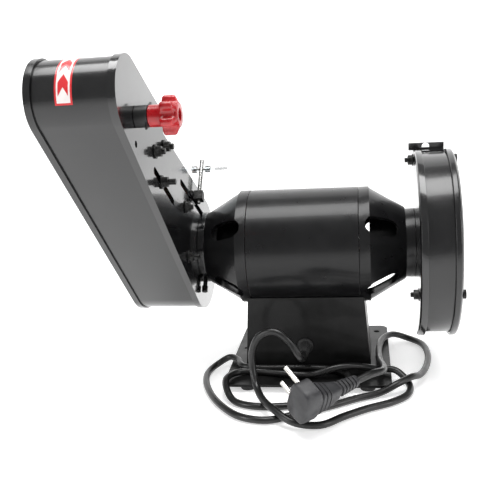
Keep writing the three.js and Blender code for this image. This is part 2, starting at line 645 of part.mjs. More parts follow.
function buildBeltDrive() {
  const wheel = turned([
    [109, 43], [109, DRIVE_RADIUS], [159, DRIVE_RADIUS], [159, 43], [139, 43], [139, 14], [152, 14],
    [152, 6.5], [112, 6.5], [112, 14], [129, 14], [129, 43],
  ], 40);
  add(spindle, 'drive_wheel', wheel, COLOURS.aluminium, 0.4, 0.6);
  const nut = cut(barX(152.3, 159.5, 9.6, 0, 0, 6), barX(150, 162, 6.5));
  add(spindle, 'drive_wheel_nut', nut, COLOURS.steel, 0.4, 0.8);

  const idler = turned([
    [109, 14], [109, IDLER.radius], [159, IDLER.radius], [159, 14],
    [150, 14], [150, 6.3], [118, 6.3], [118, 14],
  ], 28).translate(0, IDLER.u, IDLER.w);
  add(arm, 'idler_wheel', idler, COLOURS.aluminium, 0.4, 0.6);
  const axle = turned([
    [76, 0], [76, 3], [101.5, 3], [101.5, 4], [104.6, 4], [104.6, 10], [108, 10], [108, 6], [160, 6], [160, 0],
  ], 24).translate(0, IDLER.u, IDLER.w);
  add(arm, 'idler_axle', axle, COLOURS.steel, 0.3, 0.9);

  const inner = loopOutline(DRIVE_RADIUS + GAP, IDLER.radius + GAP, IDLER.u, IDLER.w);
  const outer = loopOutline(
    DRIVE_RADIUS + GAP + BELT.thickness, IDLER.radius + GAP + BELT.thickness, IDLER.u, IDLER.w,
  );
  const belt = cut(slabX(outer, BELT.x0, BELT.x1, 20), slabX(inner, BELT.x0 - 1, BELT.x1 + 1, 20));
  add(arm, 'abrasive_belt', belt, COLOURS.abrasive, 0.95);
}

function buildPlaten() {
  const top = DRIVE_RADIUS + GAP - 0.4;
  const [a0, a1] = [96, 200];
  const flangeX = ARM.x + ARM.plate + GAP;
  const plate = box(flangeX, 158, a0, a1, top - 2.5, top);
  const flange = box(flangeX, flangeX + 2.5, a0, a1, 15, top);
  const holes = ['platen_bolt_upper', 'platen_bolt_lower']
    .map((name) => barX(100, 110, 2.8, ...PLATE_FIXINGS[name]));
  const platen = join(plate, flange).rotateX(BELT_SLOPE);
  add(arm, 'platen', cut(platen, ...holes), COLOURS.steel, 0.4, 0.8);
}

function knobOutline() {
  const points = [];
  const steps = KNOB.lobes * 8;
  for (let i = 0; i < steps; i += 1) {
    const turn = (i / steps) * 2 * Math.PI;
    const wave = Math.cos(KNOB.lobes * turn);
    const radius = KNOB.radius - 1.6 + 1.6 * Math.sign(wave) * Math.abs(wave) ** 0.6;
    points.push([radius * Math.cos(turn), radius * Math.sin(turn)]);
  }
  return polygon(points);
}

function buildTensioner() {
  const place = (geometry) => geometry.translate(0, IDLER.u, IDLER.w);
  const bossProfile = [[92, 3.3], [92, 8], [ARM.x - GAP, 8], [ARM.x - GAP, 4.3], [97, 4.3], [97, 3.3]];
  const lever = cut(
    slabX(polygon([[-1, 13], [-4, 6], [-4, -6], [1, -12], [4, -6], [4, 6]]), 92, 93.5),
    barX(90, 95, 3.3),
  );
  const boss = join(turned(bossProfile, 24), lever);
  add(arm, 'tension_boss', place(boss), COLOURS.black, 0.5);

  const { sleeve, head, face, radius } = KNOB;
  const grip = join(
    barX(head - 1, sleeve, 8, 0, 0, 32), slabX(knobOutline(), face + 2, head),
    turned([[face, 0], [face, radius - 5], [face + 2.2, radius - 3.2], [face + 2.2, 0]], 28),
  );
  const bore = join(barX(60, 100, 3.3), barX(face - 5, face + 6, 4.6, 0, 0, 20));
  add(arm, 'tracking_knob', place(cut(grip, bore)), COLOURS.red, 0.35);
}

function buildShield() {
  const { u, w, rodX, x0, x1, reach, angle } = SHIELD;
  const [boltU, boltW] = EYE_BOLT;
  const eye = cut(
    join(
      box(92.8, ARM.x - GAP, boltU - 4, boltU + 4, boltW - 5, boltW + 4),
      barX(100, 108, 2.4, boltU, boltW, 12),
    ),
    barZ(boltW - 10, boltW + 10, 2.3, rodX, u, 12),
  );
  add(arm, 'shield_eye_bolt', eye, COLOURS.black, 0.4, 0.4);
  const rod = join(barZ(boltW - 8, w + 10, 2, rodX, u, 16), barX(rodX - 8.5, rodX + 8.5, 1.1, u, w, 12));
  add(arm, 'shield_rod', rod, COLOURS.steel, 0.2, 0.9);

  const thick = 2.6;
  const notch = box(rodX - 4, rodX + 4, -8, 8, -5, 5);
  const sheet = cut(box(x0, x1, 2.5, reach, -thick / 2, thick / 2), notch);
  const knuckles = [[rodX - 9, rodX - 4], [rodX + 4, rodX + 9]].map(([a, b]) => join(
    barX(a, b, 3.2, 0, 0, 16), box(a, b, 0, 6, -thick / 2, thick / 2),
  ));
  const bore = barX(rodX - 15, rodX + 15, 1.4, 0, 0, 12);
  const shield = cut(join(sheet, ...knuckles), bore).rotateX(degrees(angle)).translate(0, u, w);
  add(arm, 'eye_shield', shield, COLOURS.clear, 0.05);
}

/** The rest stands level in front of the drive wheel, so it is drawn in level axes. */
function buildBeltRest() {
  const [boltY, boltZ] = REST_BOLT;
  const level = new THREE.Group();
  level.rotation.x = -degrees(ARM_ANGLE);
  arm.add(level);
  const table = box(98, 161, -90, -53.6, -4, 0);
  const leg = cut(
    box(98, ARM.x - GAP, -90, -36.5, -23, 0),
    slabX(slotOutline([boltY, boltZ], [boltY + 7, boltZ], 3.2), 90, 110),
  );
  add(level, 'belt_rest', join(table, leg), COLOURS.darkGrey, 0.5, 0.3);
  const bolt = join(
    barX(104.6, 107.6, 5.4, boltY, boltZ, 6), barX(91.5, 106, 2.9, boltY, boltZ, 12),
    barX(93.2, 97.7, 5.4, boltY, boltZ, 6),
  );
  add(level, 'belt_rest_bolt', bolt, COLOURS.steel, 0.4, 0.8);
}

// ---------------------------------------------------------------- mains lead and plug

function buildCord() {
  const route = CORD_ROUTE.map((point) => new THREE.Vector3(...point));
  const curve = new THREE.CatmullRomCurve3(route, false, 'centripetal');
  const section = new THREE.Shape().absarc(0, 0, CORD_RADIUS, 0, 2 * Math.PI);
  const tube = new THREE.ExtrudeGeometry(section, { steps: CORD_STEPS, extrudePath: curve, curveSegments: 4 });
  add(machine, 'mains_cord', tube, COLOURS.rubber, 0.35);
}

/** Right-handed axes of the plug: along its length, across it, and the way its pins point. */
function plugAxes() {
  const tail = new THREE.Vector3(...PLUG.tail);
  const along = new THREE.Vector3(...PLUG.head).sub(tail).normalize();
  const across = new THREE.Vector3(...PIN_UP).cross(along).normalize();
  const up = along.clone().cross(across);
  return new THREE.Matrix4().makeBasis(along, across, up).setPosition(tail);
}

function taperedBlock(sections) {
  const points = [];
  for (const [a, halfWidth, low, high] of sections) {
    points.push([a, -halfWidth, low], [a, halfWidth, low], [a, halfWidth, high], [a, -halfWidth, high]);
  }
  const index = [0, 2, 1, 0, 3, 2];
  for (let s = 0; s < sections.length - 1; s += 1) {
    for (let k = 0; k < 4; k += 1) {
      const [p, q] = [4 * s + k, 4 * s + ((k + 1) % 4)];
      index.push(p, q, q + 4, p, q + 4, p + 4);
    }
  }
  const last = 4 * (sections.length - 1);
  index.push(last, last + 1, last + 2, last, last + 2, last + 3);
  const geometry = new THREE.BufferGeometry();
  geometry.setAttribute('position', new THREE.Float32BufferAttribute(points.flat(), 3));
  geometry.setIndex(index);
  return geometry;
}

function buildPlug() {
  const axes = plugAxes();
  const { relief, neckHalf, headWidth, headThick, headTop } = PLUG;
  const length = new THREE.Vector3(...PLUG.head).distanceTo(new THREE.Vector3(...PLUG.tail));
  const body = taperedBlock([
    [relief, neckHalf, -6, 6], [relief + 8, neckHalf + 2, -8, 7], [length - 22, headWidth, -headThick, headThick - 1],
    [length - 17, headWidth, -headThick, headTop], [length, headWidth - 2, -headThick + 1, headTop - 1],
  ]);
  const pins = [-PIN_SPACING / 2, PIN_SPACING / 2].map((across) => [length - 9, across]);
  const slots = pins.map(([a, b]) => barZ(headTop - 12, headTop + 5, PIN_RADIUS + GAP, a, b, 16));
  const sleeve = turned([[GAP, 0], [GAP, 4.4], [relief + 1, 5.8], [relief + 1, 0]], 16);
  add(machine, 'plug_body', join(cut(body, ...slots), sleeve).applyMatrix4(axes), COLOURS.darkGrey, 0.6);
  pins.forEach(([a, b], i) => {
    const pin = barZ(headTop - 12 + GAP, headTop + PIN_REACH, PIN_RADIUS, a, b, 16);
    add(machine, `plug_pin_${i + 1}`, pin.applyMatrix4(axes), COLOURS.steel, 0.2, 1);
  });
}

buildBase();
buildPedestal();
buildSwitch();
buildGland();
buildMotor();
buildRotor();
buildWheel();
buildGuard();
buildSparkBracket();
buildToolRest();
buildArmPlate();
buildPlateFixings();
buildArmMount();
buildBeltDrive();
buildPlaten();
buildTensioner();
buildShield();
buildBeltRest();
buildCord();
buildPlug();

export default machine;
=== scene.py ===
"""A 150 mm bench grinder with a belt-sander arm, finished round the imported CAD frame.
Metres, in the row frame: +X from the grinding wheel to the belt arm, +Y to the rear, +Z up."""
import math

import bmesh
import bpy
from mathutils import Matrix, Vector


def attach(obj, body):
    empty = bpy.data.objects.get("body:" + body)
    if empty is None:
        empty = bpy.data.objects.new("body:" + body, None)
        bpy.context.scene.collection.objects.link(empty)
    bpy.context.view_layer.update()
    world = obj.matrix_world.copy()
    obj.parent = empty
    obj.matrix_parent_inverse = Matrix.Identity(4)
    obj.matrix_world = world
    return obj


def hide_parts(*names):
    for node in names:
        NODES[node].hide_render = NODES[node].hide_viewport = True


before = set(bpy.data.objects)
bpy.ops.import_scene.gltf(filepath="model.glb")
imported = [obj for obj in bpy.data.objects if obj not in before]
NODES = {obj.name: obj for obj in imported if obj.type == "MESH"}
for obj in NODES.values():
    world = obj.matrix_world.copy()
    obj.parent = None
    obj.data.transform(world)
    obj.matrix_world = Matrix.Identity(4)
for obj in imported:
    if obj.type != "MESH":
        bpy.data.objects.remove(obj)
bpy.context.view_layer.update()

MM = 0.001
OFFSET = Vector((-13.75, -59.4, 0.0))        # machine's own axes to the row frame, mm
AXIS_HEIGHT = 122.0
ARM_TILT = math.radians(39)
ARM_LENGTH = 255.0                           # motor axis to the centre of the band's upper end, mm
IDLER_AT = (236.0, -5.0)                     # idler and knob axis, along and out of the arm, mm

CAMERA_AT = (-58.4, 699.3, 299.6)            # machine axes, mm
CAMERA_RIGHT = Vector((-0.98638, -0.15225, -0.0622))
CAMERA_UP = Vector((-0.02278, -0.24809, 0.96847))
CAMERA_LENS = 53.9

EDGE_WIDTH = 0.25                            # softened edge of a piece not listed in EDGE, mm
EDGE_ANGLE = math.radians(38)


def place(x, y, z):
    """Machine millimetres to row-frame metres."""
    return (Vector((x, y, z)) + OFFSET) * MM


# ---------------------------------------------------------------- camera

def make_camera():
    data = bpy.data.cameras.new("camera")
    data.sensor_width = 36.0
    data.sensor_fit = "HORIZONTAL"
    data.lens = CAMERA_LENS
    data.clip_start = 0.01
    camera = bpy.data.objects.new("camera", data)
    turn = Matrix((CAMERA_RIGHT, CAMERA_UP, CAMERA_RIGHT.cross(CAMERA_UP))).transposed().to_4x4()
    camera.matrix_world = Matrix.Translation(place(*CAMERA_AT)) @ turn
    bpy.context.scene.collection.objects.link(camera)
    bpy.context.scene.camera = camera


make_camera()


# ---------------------------------------------------------------- mesh helpers

def link(name, mesh):
    obj = bpy.data.objects.new(name, mesh)
    bpy.context.scene.collection.objects.link(obj)
    return obj


def smooth(mesh, angle=35):
    mesh.polygons.foreach_set("use_smooth", [True] * len(mesh.polygons))
    mesh.set_sharp_from_angle(angle=math.radians(angle))


def revolve(name, profile, segments=96, angle=30):
    """Turned about the X axis from closed (x, radius) points, in mm; a radius of 0 is on the axis."""
    bm = bmesh.new()
    rings = []
    for x, radius in profile:
        if radius == 0:
            rings.append([bm.verts.new((x * MM, 0, 0))])
            continue
        ring = []
        for i in range(segments):
            turn = 2 * math.pi * i / segments
            r = radius(turn) if callable(radius) else radius
            ring.append(bm.verts.new((x * MM, r * MM * math.cos(turn), r * MM * math.sin(turn))))
        rings.append(ring)
    closed = len(rings[0]) > 1
    pairs = list(zip(rings, rings[1:])) + ([(rings[-1], rings[0])] if closed else [])
    for a, b in pairs:
        for i in range(segments):
            j = (i + 1) % segments
            if len(a) == 1:
                bm.faces.new((a[0], b[j], b[i]))
            elif len(b) == 1:
                bm.faces.new((a[i], a[j], b[0]))
            else:
                bm.faces.new((a[i], a[j], b[j], b[i]))
    bmesh.ops.recalc_face_normals(bm, faces=bm.faces)
    mesh = bpy.data.meshes.new(name)
    bm.to_mesh(mesh)
    bm.free()
    smooth(mesh, angle)
    return link(name, mesh)


# ---------------------------------------------------------------- materials

class Surface:
    """A Principled material whose noise is measured in metres in the row frame."""

    def __init__(self, name, roughness, metallic=0.0, coat=0.0, coat_roughness=0.1, specular=0.5):
        self.mat = bpy.data.materials.new(name)
        self.mat.use_nodes = True
        self.tree = self.mat.node_tree
        self.shader = self.tree.nodes["Principled BSDF"]
        self.shader.inputs["Roughness"].default_value = roughness
        self.shader.inputs["Metallic"].default_value = metallic
        self.shader.inputs["Coat Weight"].default_value = coat
        self.shader.inputs["Coat Roughness"].default_value = coat_roughness
        self.shader.inputs["Specular IOR Level"].default_value = specular
        self.coords = self.tree.nodes.new("ShaderNodeTexCoord").outputs["Object"]
        self.height = None

    def stretched(self, stretch):
        mapping = self.tree.nodes.new("ShaderNodeMapping")
        mapping.inputs["Scale"].default_value = stretch
        self.tree.links.new(self.coords, mapping.inputs["Vector"])
        return mapping.outputs["Vector"]

    def noise(self, scale, detail=4.0, stretch=(1, 1, 1)):
        node = self.tree.nodes.new("ShaderNodeTexNoise")
        node.inputs["Scale"].default_value = scale
        node.inputs["Detail"].default_value = detail
        self.tree.links.new(self.stretched(stretch), node.inputs["Vector"])
        return node.outputs["Fac"]

    def cells(self, scale):
        node = self.tree.nodes.new("ShaderNodeTexVoronoi")
        node.inputs["Scale"].default_value = scale
        self.tree.links.new(self.coords, node.inputs["Vector"])
        return node.outputs["Distance"]

    def ramp(self, source, low, high, start=0.35, end=0.65):
        node = self.tree.nodes.new("ShaderNodeValToRGB")
        node.color_ramp.elements[0].position = start
        node.color_ramp.elements[1].position = end
        node.color_ramp.elements[0].color = (*low, 1)
        node.color_ramp.elements[1].color = (*high, 1)
        self.tree.links.new(source, node.inputs["Fac"])
        return node.outputs["Color"]

    def colour(self, source, low, high, start=0.35, end=0.65):
        self.tree.links.new(self.ramp(source, low, high, start, end), self.shader.inputs["Base Color"])
        return self

    def rough(self, source, low, high):
        node = self.tree.nodes.new("ShaderNodeMapRange")
        node.inputs["From Min"].default_value = 0.3
        node.inputs["From Max"].default_value = 0.7
        node.inputs["To Min"].default_value = low
        node.inputs["To Max"].default_value = high
        self.tree.links.new(source, node.inputs["Value"])
        self.tree.links.new(node.outputs["Result"], self.shader.inputs["Roughness"])
        return self

    def glow(self, strength):
        self.shader.inputs["Emission Color"].default_value = (1, 1, 1, 1)
        self.shader.inputs["Emission Strength"].default_value = strength

    def bump(self, source, depth, strength=0.5):
        node = self.tree.nodes.new("ShaderNodeBump")
        node.inputs["Strength"].default_value = strength
        node.inputs["Distance"].default_value = depth
        self.tree.links.new(source, node.inputs["Height"])
        if self.height is not None:
            self.tree.links.new(self.height, node.inputs["Normal"])
        self.height = node.outputs["Normal"]
        self.tree.links.new(self.height, self.shader.inputs["Normal"])
        return self


def paint(name, low, high, rough, texture, depth, coat=0.25, specular=0.5):
    """Baked enamel: a fine orange peel over a slow change of gloss."""
    s = Surface(name, rough[0], coat=coat, coat_roughness=0.07, specular=specular)
    s.colour(s.noise(45, 6), low, high)
    s.rough(s.noise(90, 5), *rough)
    return s.bump(s.noise(texture, 3), depth).mat


def metal(name, low, high, rough, stretch, scale=900):
    s = Surface(name, rough[0], metallic=1.0)
    grain = s.noise(scale, 6, stretch)
    s.colour(grain, low, high)
    s.rough(s.noise(120, 5), *rough)
    return s.bump(grain, 0.00004, 0.4).mat


def plastic(name, low, high, rough, scale=1400, depth=0.00005, coat=0.0):
    s = Surface(name, rough[0], coat=coat)
    s.colour(s.noise(70, 5), low, high)
    s.rough(s.noise(160, 4), *rough)
    return s.bump(s.noise(scale, 3), depth).mat


def abrasive(name):
    s = Surface(name, 0.9, specular=0.3)
    grit = s.cells(1900)
    s.colour(grit, (0.09, 0.035, 0.018), (0.27, 0.13, 0.07), 0.1, 0.6)
    s.rough(s.noise(200), 0.8, 0.98)
    return s.bump(grit, 0.0004, 0.9).mat


def stone(name):
    s = Surface(name, 0.9, specular=0.3)
    grit = s.cells(1500)
    s.colour(grit, (0.16, 0.16, 0.155), (0.46, 0.46, 0.45), 0.1, 0.55)
    s.rough(s.noise(200), 0.8, 0.98)
    return s.bump(grit, 0.0005, 0.9).mat


def clear(name):
    s = Surface(name, 0.03)
    s.shader.inputs["Base Color"].default_value = (0.8, 0.84, 0.86, 1)
    s.shader.inputs["Transmission Weight"].default_value = 1.0
    s.shader.inputs["IOR"].default_value = 1.49
    s.rough(s.noise(60, 5), 0.04, 0.12)
    return s.bump(s.noise(80, 4), 0.00002, 0.3).mat


ENAMEL = ((0.004, 0.004, 0.0045), (0.007, 0.007, 0.0075))      # darkest and lightest black

MATERIALS = {
    "paint": paint("black_enamel", *ENAMEL, rough=(0.22, 0.27), texture=1100, depth=0.00003),
    "glossy_paint": paint("arm_enamel", *ENAMEL, rough=(0.15, 0.2), texture=700, depth=0.00001, coat=0.55),
    "motor_paint": paint("motor_enamel", *ENAMEL, rough=(0.27, 0.32), texture=1100, depth=0.00002,
                         coat=0.12, specular=0.3),
    "textured_paint": paint("textured_enamel", (0.004, 0.004, 0.004), (0.01, 0.01, 0.01),
                            rough=(0.34, 0.46), texture=1500, depth=0.0001, coat=0.08, specular=0.22),
    "rubber": plastic("rubber", (0.012, 0.012, 0.012), (0.022, 0.022, 0.022), (0.55, 0.75), 900, 0.0001),
    "cord": plastic("cord_jacket", (0.006, 0.006, 0.006), (0.012, 0.012, 0.012), (0.26, 0.38), 700, 0.00004),
    "moulding": plastic("plug_moulding", (0.018, 0.018, 0.02), (0.034, 0.034, 0.037), (0.42, 0.55),
                        1800, 0.00008),
    "plastic": plastic("black_plastic", (0.01, 0.01, 0.01), (0.02, 0.02, 0.02), (0.35, 0.5)),
    "red": plastic("red_plastic", (0.34, 0.004, 0.008), (0.5, 0.009, 0.014), (0.24, 0.36), 500, 0.00006, 0.3),
    "steel": metal("steel", (0.34, 0.34, 0.33), (0.6, 0.6, 0.59), (0.2, 0.36), (0.15, 1, 1)),
    "black_steel": metal("black_steel", (0.012, 0.012, 0.012), (0.05, 0.05, 0.049), (0.3, 0.48), (0.4, 1, 1)),
    "polished": metal("polished_rod", (0.2, 0.2, 0.2), (0.42, 0.42, 0.41), (0.16, 0.26), (0.15, 1, 1)),
    "bright": metal("nickel_plate", (0.62, 0.6, 0.56), (0.82, 0.8, 0.76), (0.1, 0.2), (1, 1, 1)),
    "aluminium": metal("machined_aluminium", (0.5, 0.51, 0.52), (0.72, 0.73, 0.74), (0.28, 0.42),
                       (2.5, 0.3, 0.3)),
    "copper": metal("enamelled_copper", (0.42, 0.14, 0.06), (0.68, 0.3, 0.14), (0.3, 0.45),
                    (0.3, 1, 1), 1500),
    "lamination": metal("laminations", (0.14, 0.14, 0.14), (0.3, 0.3, 0.3), (0.4, 0.55), (6, 0.1, 0.1), 600),
    "abrasive": abrasive("abrasive_cloth"),
    "stone": stone("bonded_abrasive"),
    "clear": clear("polycarbonate"),
}

FINISH = {
    "motor_paint": ["motor_shell", "end_bell_belt_side", "end_bell_wheel_side"],
    "paint": ["guard_drum",
              "guard_cover", "belt_housing_band", "belt_cover"],
    "glossy_paint": ["arm_plate", "arm_clamp_ring", "spark_guard_bracket", "guard_back_plate"],
    "textured_paint": ["base_plate", "pedestal_shell", "tool_rest", "belt_rest"],
    "rubber": ["foot_rear_left", "foot_rear_right", "foot_front_left", "foot_front_right"],
    "plastic": ["switch_bezel", "tension_boss", "cover_screw"],
    "red": ["switch_rocker"],
    "steel": ["motor_shaft", "wheel_flange_inner", "wheel_flange_outer", "wheel_nut", "platen",
              "drive_wheel_nut", "idler_axle", "ball_bearing_belt_side", "ball_bearing_wheel_side",
              "tool_rest_bolt", "belt_rest_bolt"],
    "black_steel": ["guard_screw_1", "guard_screw_2", "platen_bolt_upper", "platen_bolt_lower",
                    "carriage_bolt", "stop_bolt", "housing_bolt", "arm_lock_screw", "shield_eye_bolt"],
    "polished": ["shield_rod"],
    "bright": ["plug_pin_1", "plug_pin_2"],
    "aluminium": ["drive_wheel", "idler_wheel", "run_capacitor"],
    "copper": ["stator_winding"],
    "lamination": ["stator_core", "rotor_core"],
    "abrasive": ["abrasive_belt"],
    "stone": ["grinding_wheel"],
    "clear": ["eye_shield"],
}
# Softened edges wider or narrower than EDGE_WIDTH, mm.
EDGE = {
    "guard_cover": 1.0, "guard_back_plate": 0.5, "belt_cover": 0.6, "arm_plate": 0.5,
    "pedestal_shell": 0.6, "base_plate": 0.5, "eye_shield": 0.3, "motor_shell": 0.6,
}


def finish_node(name, material):
    """A CAD node keeps its shape, with welded faces, softened edges and smooth curves."""
    obj = NODES[name]
    obj.data.materials.clear()
    obj.data.materials.append(MATERIALS[material])
    if "custom_normal" in obj.data.attributes:
        obj.data.attributes.remove(obj.data.attributes["custom_normal"])
    obj.data.polygons.foreach_set("use_smooth", [True] * len(obj.data.polygons))
    weld = obj.modifiers.new("weld", "WELD")
    weld.merge_threshold = 0.00001
    bevel = obj.modifiers.new("soft_edges", "BEVEL")
    bevel.width = EDGE.get(name, EDGE_WIDTH) * MM
    bevel.segments = 2
    bevel.limit_method = "ANGLE"
    bevel.angle_limit = EDGE_ANGLE
    bevel.use_clamp_overlap = True
    normals = obj.modifiers.new("normals", "WEIGHTED_NORMAL")
    normals.keep_sharp = False


for material_name, names in FINISH.items():
    for node_name in names:
        finish_node(node_name, material_name)


# ---------------------------------------------------------------- mains lead

CORD_RADIUS = 3.2
CORD_ROUTE = [
    (1.8, 58.5, 31), (1.8, 70, 31.6), (4, 83, 40), (11, 88, 55), (24, 87, 64.5), (38, 85, 60),
    (46, 84, 45), (46, 87, 28), (42, 96, 15.5), (35, 112, 11.4), (23, 131, 11), (5, 145, 6.5),
    (-17, 144, 3.8), (-37, 127, 3.6), (-57, 112, 3.6), (-77, 100, 3.6), (-92, 84, 3.6),
    (-94.5, 65, 4.5), (-83, 50.5, 11.8), (-65, 47.5, 12.3), (-46, 54.5, 17.6), (-29, 60.5, 18.8),
    (-6, 62, 12.4), (24, 58, 11.6), (48, 53.5, 11.6), (66, 57, 11.7), (74, 71, 12.3),
    (72, 86, 9.6), (63, 101, 4), (45, 110.5, 3.6), (22, 111, 3.6), (-4, 104, 3.6),
    (-25, 93, 4.4), (-38, 77.5, 11.6), (-38, 60.5, 11.8), (-25, 49, 11.6), (-4, 45, 11.6), (22, 45, 11.6),
    (44, 46, 11.8), (62.5, 42.5, 12), (70, 27.5, 12), (80, 19, 11.5), (92, 23, 5.8), (98.5, 36, 3.7),
    (98, 54, 3.6), (89, 82, 3.6), (73, 110, 3.6), (52, 131, 3.6), (28, 136.5, 3.6),
    (3, 124, 3.6), (-22, 110, 3.6), (-46, 94, 3.7), (-68, 83, 4.6), (-84, 75, 9.9),
    (-96, 64, 11.2), (-105, 48, 6.4), (-113, 22, 3.6), (-117, -8, 3.6), (-113, -36, 3.6),
    (-100, -50, 4.4), (-85, -46, 10.4), (-74, -31, 12), (-69, -6, 11.6), (-68.5, 22, 13.2),
    (-69, 44, 18.6), (-70, 97, 32.1), (-60.2, 110.7, 35.1), (-48.3, 121.4, 33.9),
]


def centripetal(points, steps):
    """The smooth line through points that the CAD solid follows too."""
    ends = [2 * points[0] - points[1]] + points + [2 * points[-1] - points[-2]]
    line = []
    for p0, p1, p2, p3 in zip(ends, ends[1:], ends[2:], ends[3:]):
        gaps = [max((b - a).length, 1e-9) ** 0.5 for a, b in ((p0, p1), (p1, p2), (p2, p3))]
        t1 = (p1 - p0) / gaps[0] - (p2 - p0) / (gaps[0] + gaps[1]) + (p2 - p1) / gaps[1]
        t2 = (p2 - p1) / gaps[1] - (p3 - p1) / (gaps[1] + gaps[2]) + (p3 - p2) / gaps[2]
        t1, t2 = t1 * gaps[1], t2 * gaps[1]
        for i in range(steps):
            t = i / steps
            line.append(
                (2 * t ** 3 - 3 * t ** 2 + 1) * p1 + (t ** 3 - 2 * t ** 2 + t) * t1
                + (3 * t ** 2 - 2 * t ** 3) * p2 + (t ** 3 - t ** 2) * t2)
    return line + [points[-1]]


def make_cord():
    line = centripetal([place(*p) for p in CORD_ROUTE], 6)
    data = bpy.data.curves.new("mains_lead", "CURVE")
    data.dimensions = "3D"
    data.bevel_depth = CORD_RADIUS * MM
    data.bevel_resolution = 5
    data.use_fill_caps = True
    spline = data.splines.new("POLY")
    spline.points.add(len(line) - 1)
    for point, at in zip(spline.points, line):
        point.co = (*at, 1)
    spline.use_smooth = True
    data.materials.append(MATERIALS["cord"])
    cord = link("mains_lead", data)
    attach(cord, "base")
    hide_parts("mains_cord")
    length = sum((b - a).length for a, b in zip(line, line[1:]))
    return cord, line[0], length


def finish_piece(obj, material, body, slot, *nodes):
    obj.data.materials.append(MATERIALS[material])
    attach(obj, body)
    if nodes:
        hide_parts(*nodes)
    return obj


def make_gland():
    """Ribbed strain relief on the pedestal's rear wall."""
    wall = 36.0
    profile = [(wall - 5, 0), (wall - 5, 7.2), (wall - 2.3, 7.2), (wall - 2.3, 5.6), (wall + 0.3, 5.6),
               (wall + 0.3, 7.4), (wall + 0.6, 7.6), (wall + 2, 7.6), (wall + 2.4, 7.2), (wall + 3.2, 5.6)]
    for i in range(5):
        start = wall + 4.2 + 3.4 * i
        outer = 5.5 - 0.26 * i
        profile += [(start, outer), (start + 1.9, outer - 0.1), (start + 2.1, 4.15), (start + 3.2, 4.1)]
    profile += [(58, 4.1), (58, 0)]
    gland = revolve("strain_relief", profile, 48)
    gland.data.transform(Matrix.Translation(place(1.8, 0, 31)) @ Matrix.Rotation(math.pi / 2, 4, "Z"))
    return finish_piece(gland, "rubber", "base", "rubber", "cord_gland")


# ---------------------------------------------------------------- plug

PLUG_TAIL = Vector((-48.0, 121.6, 33.8))
PLUG_HEAD = Vector((-2.0, 162.9, 29.0))
PIN_UP = Vector((0.62, -0.64, 0.46))
PLUG_LENGTH = (PLUG_HEAD - PLUG_TAIL).length


def plug_axes():
    along = (PLUG_HEAD - PLUG_TAIL).normalized()
    across = PIN_UP.cross(along).normalized()
    up = along.cross(across)
    axes = Matrix((along, across, up)).transposed().to_4x4()
    return Matrix.Translation(place(*PLUG_TAIL)) @ axes


def loft(name, sections, around=32, power=4.0):
    """A closed body from rounded-square sections (along, half width, low, high), in mm."""
    bm = bmesh.new()
    rings = []
    for a, half, low, high in sections:
        ring = []
        for i in range(around):
            turn = 2 * math.pi * (i + 0.5) / around
            c, s = math.cos(turn), math.sin(turn)
            y = half * math.copysign(abs(c) ** (2 / power), c)
            z = (low + high) / 2 + (high - low) / 2 * math.copysign(abs(s) ** (2 / power), s)
            ring.append(bm.verts.new((a * MM, y * MM, z * MM)))
        rings.append(ring)
    for p, q in zip(rings, rings[1:]):
        for i in range(around):
            j = (i + 1) % around
            bm.faces.new((p[i], p[j], q[j], q[i]))
    bm.faces.new(rings[0][::-1])
    bm.faces.new(rings[-1])
    bmesh.ops.recalc_face_normals(bm, faces=bm.faces)
    mesh = bpy.data.meshes.new(name)
    bm.to_mesh(mesh)
    bm.free()
    smooth(mesh, 50)
    return link(name, mesh)


def make_plug():
    sections = [(0.3, 3.9, -3.9, 3.9), (1.0, 4.3, -4.3, 4.3)]
    for i in range(5):                       # the relief's rings
        start = 2.2 + 3.7 * i
        r = 4.6 + 0.28 * i
        sections += [(start, r, -r, r), (start + 2.2, r + 0.1, -r - 0.1, r + 0.1),
                     (start + 2.5, r - 0.9, -r + 0.9, r - 0.9), (start + 3.4, r - 0.9, -r + 0.9, r - 0.9)]
    sections += [(21.8, 6.6, -5.6, 5.6), (24, 7.4, -6.4, 6.2), (30, 8.8, -7.8, 7.4)]
    for i in range(3):                       # grip grooves across the body
        start = 32 + 4.4 * i
        half, low, high = 9.4 + 1.6 * i, -8.1 - 0.2 * i, 8.0 + 1.1 * i
        sections += [(start, half, low, high), (start + 2.9, half + 0.9, low - 0.2, high + 0.6),
                     (start + 3.3, half + 0.3, low + 0.5, high - 0.1),
                     (start + 4.0, half + 0.6, low + 0.4, high + 0.2)]
    end = PLUG_LENGTH
    sections += [(46, 14.8, -8.7, 12.0), (end - 14, 17.6, -8.9, 14.7), (end - 4, 17.4, -8.9, 14.8),
                 (end - 1.2, 17.0, -8.6, 14.6), (end - 0.3, 16.0, -7.8, 13.8)]
    plug = loft("plug_moulding", sections)
    plug.data.transform(plug_axes())
    return finish_piece(plug, "moulding", "base", "grey_moulding", "plug_body")


cord_piece, cord_exit, cord_length = make_cord()
make_gland()
plug_piece = make_plug()


# ---------------------------------------------------------------- tracking knob

def arm_matrix():
    return Matrix.Translation(place(0, 0, AXIS_HEIGHT)) @ Matrix.Rotation(ARM_TILT, 4, "X")


KNOB_LOBES = 6


